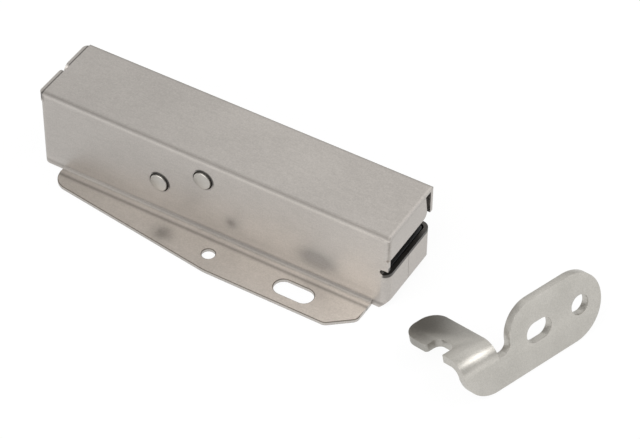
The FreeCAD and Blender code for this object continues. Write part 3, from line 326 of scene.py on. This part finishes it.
def tumbled_plate(name, light, dark, roughness):
    """Tumbled plate: an even fine grain with slight clouds. The arm is painted darker towards its
    hook, a painted reflection of the housing's end face, along a line that the keeper's own yaw places."""
    make = Finish(name)
    x, y, z = make.axes()
    clouds = make.noise(90.0, 4.0, 0.6)
    grain = make.noise(3000.0, 2.0, 0.7)
    tone = ((clouds - 0.5) * 1.6 + (grain - 0.5) * 2.2 + 0.5).clamp()
    low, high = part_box("keeper")
    along = (x - low[0] / MM) * 0.94 - (y - low[1] / MM - 9.0) * 0.34
    # Painted reflection of the housing's end face: the dark colour below is mixed in towards the hook.
    housing_reflection = past(9.0 - along, 0.0, 11.0)
    shade = make.blend(tone, dark, light)
    base = make.blend(housing_reflection * 0.42, shade, colour(0.06, 0.056, 0.05))
    return make.set(
        Base_Color=base, Metallic=1.0, Roughness=(roughness - 0.04 + grain * 0.08).clamp(),
        Normal=make.bump(grain, 0.16, 0.00004))


def turned_steel(name, light, dark, roughness):
    """Turned or drawn small parts with a fine ringed grain."""
    make = Finish(name)
    grain = make.noise(5200.0, 3.0, 0.6)
    base = make.blend(grain, dark, light)
    return make.set(
        Base_Color=base, Metallic=1.0, Roughness=(roughness - 0.05 + grain * 0.1).clamp(),
        Normal=make.bump(grain, 0.08, 0.00003))


def moulded(name, light, dark, roughness):
    """Moulded plastic or rubber with a fine spark-eroded texture."""
    make = Finish(name)
    grain = make.noise(5000.0, 3.0, 0.6)
    base = make.blend(grain, dark, light)
    return make.set(
        Base_Color=base, Roughness=(roughness - 0.05 + grain * 0.1).clamp(),
        Normal=make.bump(grain, 0.2, 0.00005))


FINISHES = {
    "stainless_sheet": housing_sheet(
        "stainless_sheet", colour(0.525, 0.496, 0.464), colour(0.415, 0.391, 0.366), 0.42),
    "keeper_plate": tumbled_plate(
        "keeper_plate", colour(0.57, 0.55, 0.51), colour(0.45, 0.435, 0.40), 0.4),
    # The chassis's near-black colour is painted shade: it darkens the slot's inside.
    "inner_sheet": satin_sheet(
        "inner_sheet", colour(0.11, 0.108, 0.105), colour(0.075, 0.073, 0.07), 0.5),
    "rivet_metal": turned_steel(
        "rivet_metal", colour(0.53, 0.51, 0.475), colour(0.45, 0.43, 0.40), 0.42),
    "small_steel": turned_steel("small_steel", colour(0.55, 0.55, 0.56), colour(0.46, 0.46, 0.47), 0.3),
    "spring_wire": turned_steel("spring_wire", colour(0.45, 0.45, 0.46), colour(0.36, 0.36, 0.37), 0.32),
    "acetal": moulded("acetal", colour(0.022, 0.022, 0.023), colour(0.014, 0.014, 0.015), 0.42),
    "cam_acetal": moulded("cam_acetal", colour(0.72, 0.71, 0.67), colour(0.64, 0.63, 0.59), 0.45),
    "soft_pad": moulded("soft_pad", colour(0.045, 0.045, 0.045), colour(0.03, 0.03, 0.03), 0.65)}

SHEET_EDGE = cut_edge("sheet_edge", colour(0.24, 0.215, 0.185), colour(0.15, 0.135, 0.115), 0.6)

FOLDED = ("housing", "chassis")
SLOTS = {part["node"]: part["material_slot"] for part in frame["record"]["subparts"]}
BODIES = {
    node: body
    for body, members in frame["record"]["behaviour"]["bodies"].items() for node in members}


def weigh_flange_edges(mesh):
    """Mark the flange's own sharp edges, its outline and its holes, as the ones to roll over. The
    folded corners beside it have edges too short for that, and their sharp edges stay crisp."""
    weight = mesh.edges.layers.float.new("bevel_weight_edge")
    limit = FLANGE_START * MM
    for edge in mesh.edges:
        on_flange = all(vertex.co.y < limit for vertex in edge.verts)
        sharp = edge.calc_face_angle(0.0) > SHARP
        edge[weight] = float(on_flange and sharp)
        edge.smooth = on_flange or not sharp


def dress(node, edge):
    """A rounded copy of a node: its flat faces are joined, then its sharp edges are rolled over by a
    small radius, as a deburred part's are. On the housing only the flange's edges are."""
    copy = nodes[node].data.copy()
    mesh = bmesh.new()
    mesh.from_mesh(copy)
    bmesh.ops.remove_doubles(mesh, verts=mesh.verts, dist=1e-6)
    bmesh.ops.dissolve_limit(
        mesh, angle_limit=math.radians(0.6), verts=mesh.verts, edges=mesh.edges, delimit={"NORMAL"})
    if node == "housing":
        weigh_flange_edges(mesh)
    mesh.to_mesh(copy)
    mesh.free()
    copy.name = node + "_finished"
    piece = bpy.data.objects.new(node + "_finished", copy)
    scene.collection.objects.link(piece)
    copy.materials.clear()
    copy.materials.append(FINISHES[SLOTS[node]])
    copy.materials.append(SHEET_EDGE if node == "housing" else FINISHES[SLOTS[node]])
    copy.polygons.foreach_set("use_smooth", np.ones(len(copy.polygons), bool))
    bevel = piece.modifiers.new("rolled_edge", "BEVEL")
    bevel.width = edge
    bevel.segments = BEVEL_SEGMENTS
    bevel.limit_method = "WEIGHT" if node == "housing" else "ANGLE"
    bevel.angle_limit = SHARP
    bevel.harden_normals = True
    bevel.use_clamp_overlap = node != "housing"
    bevel.material = 1
    if node in FOLDED:
        flatten = piece.modifiers.new("flat_faces", "WEIGHTED_NORMAL")
        flatten.mode = "FACE_AREA"
        flatten.weight = 100
        flatten.keep_sharp = True
    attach(piece, BODIES[node])
    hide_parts(node)


def tube(name, points, node):
    """A closed tube from rings of points, rings by points by three, with a flat cap at each end."""
    rows, columns = points.shape[:2]
    order = np.arange(rows * columns).reshape(rows, columns)
    down, after = order[:-1], order[1:]
    cells = np.stack([
        down, np.roll(down, -1, axis=1), np.roll(after, -1, axis=1), after], axis=-1)
    faces = cells.reshape(-1, 4).tolist() + [order[0, ::-1].tolist(), order[-1].tolist()]
    mesh = bpy.data.meshes.new(name)
    mesh.from_pydata(points.reshape(-1, 3).tolist(), [], faces)
    mesh.polygons.foreach_set("use_smooth", np.ones(len(faces), bool))
    work = bmesh.new()
    work.from_mesh(mesh)
    bmesh.ops.recalc_face_normals(work, faces=work.faces)
    work.to_mesh(mesh)
    work.free()
    mesh.materials.append(FINISHES[SLOTS[node]])
    piece = bpy.data.objects.new(name, mesh)
    scene.collection.objects.link(piece)
    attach(piece, BODIES[node])
    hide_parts(node)
    return piece


def wound_wire(name, node, axis, wire, turns, end_pitch, sides=14):
    """A coil of round wire in a node's box. The line is a helix about the box's middle whose pitch
    eases from end_pitch, over the first and last turn, to an even pitch between; a circle of the
    wire's radius is carried along it, square to it."""
    low, high = [np.array(corner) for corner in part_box(node)]
    middle = (low + high) / 2
    across = [other for other in range(3) if other != axis]
    radius = (high - low)[across].min() / 2 - wire / 2
    length = (high - low)[axis] - wire
    turn = np.linspace(0.0, turns, int(turns * COIL_STEPS) + 1)
    free = np.clip(np.minimum(turn, turns - turn) - 0.7, 0.0, 0.8) / 0.8
    free = free * free * (3 - 2 * free)
    open_share = (length - end_pitch * turns) / (free.sum() * turns / len(turn))
    pitch = end_pitch + free * open_share
    rise = np.concatenate([[0.0], np.cumsum((pitch[1:] + pitch[:-1]) / 2)])
    rise = rise / rise[-1] * length
    angle = turn * 2 * np.pi
    outward = np.zeros((len(turn), 3))
    outward[:, across[0]] = np.cos(angle)
    outward[:, across[1]] = np.sin(angle)
    line = middle + outward * radius
    line[:, axis] = low[axis] + wire / 2 + rise
    along = np.gradient(line, axis=0)
    along /= np.linalg.norm(along, axis=1, keepdims=True)
    beside = np.cross(along, outward)
    round_angle = np.linspace(0.0, 2 * np.pi, sides, endpoint=False)
    ring = (
        outward[:, None] * np.cos(round_angle)[None, :, None]
        + beside[:, None] * np.sin(round_angle)[None, :, None])
    return tube(name, line[:, None] + ring * wire / 2, node)


DRESSED = {
    "housing": 0.18 * MM, "keeper": 0.28 * MM, "rear_rivet": 0.2 * MM, "front_rivet": 0.2 * MM,
    "chassis": 0.08 * MM, "cam_block": 0.25 * MM, "carriage_base": 0.2 * MM, "carriage_cap": 0.2 * MM,
    "carriage_screws": 0.25 * MM, "catch": 0.15 * MM, "catch_pin": 0.25 * MM, "catch_clip": 0.08 * MM,
    "stop_pad": 0.2 * MM, "follower": 0.1 * MM, "follower_peg": 0.15 * MM, "follower_pin": 0.1 * MM,
    "guide_rod": 0.2 * MM, "spring_cup": 0.15 * MM, "leaf_spring": 0.04 * MM}
for name, edge in DRESSED.items():
    dress(name, edge)

main_coil = wound_wire(
    "wound_main_spring", "main_spring", 0, MAIN_WIRE, MAIN_TURNS, MAIN_END_PITCH)
spring_low, spring_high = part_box("main_spring")
slide_range = [joint for joint in frame["record"]["behaviour"]["joints"]
               if joint["name"] == "carriage_slide"][0]["range_m"][1]
1 - slide_range / (spring_high[0] - spring_low[0])
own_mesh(main_coil)
wound_wire(
    "wound_catch_spring", "catch_spring", 2, CATCH_WIRE, CATCH_TURNS, CATCH_END_PITCH, sides=10)


def pale_material(name, shade, camera_share):
    """A pale surface that the camera and the metal see as near white and that still takes a shadow:
    camera_share of what they see is a white glow."""
    make = Finish(name)
    path = make.tree.nodes.new("ShaderNodeLightPath")
    camera_ray, glossy_ray, passed_ray = [
        Wire(make.tree, path.outputs[ray])
        for ray in ("Is Camera Ray", "Is Glossy Ray", "Is Transmission Ray")]
    seen = (camera_ray + glossy_ray + passed_ray).clamp()
    make.set(Base_Color=colour(shade, shade, shade), Roughness=0.9)
    glow = make.tree.nodes.new("ShaderNodeEmission")
    glow.inputs["Color"].default_value = colour(1.0, 1.0, 1.0)
    glow.inputs["Strength"].default_value = 1.0
    mix = make.tree.nodes.new("ShaderNodeMixShader")
    plug(make.tree, mix.inputs[0], seen * camera_share)
    make.tree.links.new(make.shader.outputs[0], mix.inputs[1])
    make.tree.links.new(glow.outputs[0], mix.inputs[2])
    output = [n for n in make.tree.nodes if n.type == "OUTPUT_MATERIAL"][0]
    make.tree.links.new(mix.outputs[0], output.inputs["Surface"])
    return make.material


def add_floor():
    """A flat square floor, just under the mounting plane."""
    corners = np.array([(-1, -1), (1, -1), (1, 1), (-1, 1)]) * FLOOR_HALF
    points = np.column_stack([corners, np.full(4, -FLOOR_DROP)])
    mesh = bpy.data.meshes.new("floor")
    mesh.from_pydata(points.tolist(), [], [(0, 1, 2, 3)])
    floor = bpy.data.objects.new("floor", mesh)
    scene.collection.objects.link(floor)
    mesh.materials.append(pale_material("pale_floor", 0.94, 0.93))


def add_lamp(name, place, aim, size, power):
    """A soft rectangular lamp that looks at a point."""
    data = bpy.data.lights.new(name, "AREA")
    data.shape = "RECTANGLE"
    data.size, data.size_y = size
    data.energy = power
    lamp = bpy.data.objects.new(name, data)
    scene.collection.objects.link(lamp)
    lamp.location = place
    direction = Vector(aim) - Vector(place)
    lamp.rotation_euler = direction.to_track_quat("-Z", "Y").to_euler()


def add_world(level):
    """An even surround, which is grey where the camera sees past the floor."""
    world = bpy.data.worlds.new("surround")
    world.use_nodes = True
    back = world.node_tree.nodes["Background"]
    back.inputs["Color"].default_value = colour(1.0, 0.995, 0.985)
    back.inputs["Strength"].default_value = level
    scene.world = world


def add_camera():
    """The photograph's view: a long lens, from the front left and above."""
    azimuth = math.radians(30.289)
    elevation = math.radians(44.814)
    roll = math.radians(0.72)
    away = Vector((
        math.sin(azimuth) * math.cos(elevation), -math.cos(azimuth) * math.cos(elevation),
        math.sin(elevation)))
    target = Vector((15.64, 23.66, 0.0)) * MM
    right = Vector((math.cos(azimuth), math.sin(azimuth), 0.0))
    up = away.cross(right)
    turned_right = right * math.cos(roll) + up * math.sin(roll)
    turned_up = up * math.cos(roll) - right * math.sin(roll)
    data = bpy.data.cameras.new("view")
    data.sensor_width = 36.0
    data.lens = data.sensor_width * FOCAL_PIXELS / PHOTO_WIDTH
    data.clip_start = 0.01
    camera = bpy.data.objects.new("view", data)
    scene.collection.objects.link(camera)
    columns = Matrix((turned_right, turned_up, away)).transposed().to_4x4()
    columns.translation = target + away * CAMERA_DISTANCE
    camera.matrix_world = columns
    scene.camera = camera


add_floor()
add_world(0.54)
add_lamp("front_left", (-0.1, -0.65, 0.72), (0.0, 0.0, 0.0), (0.85, 0.85), 8.0)
add_lamp("overhead", (0.47, 0.33, 0.83), (0.03, 0.0, 0.0), (0.42, 0.42), 2.4)
add_lamp("back_left", (-0.45, 0.75, 0.8), (0.0, 0.0, 0.0), (1.3, 1.0), 2.0)
add_lamp("right", (0.95, 0.05, 0.12), (0.03, 0.0, 0.0), (0.8, 0.5), 1.1)
add_camera()
scene.view_settings.view_transform = "Standard"
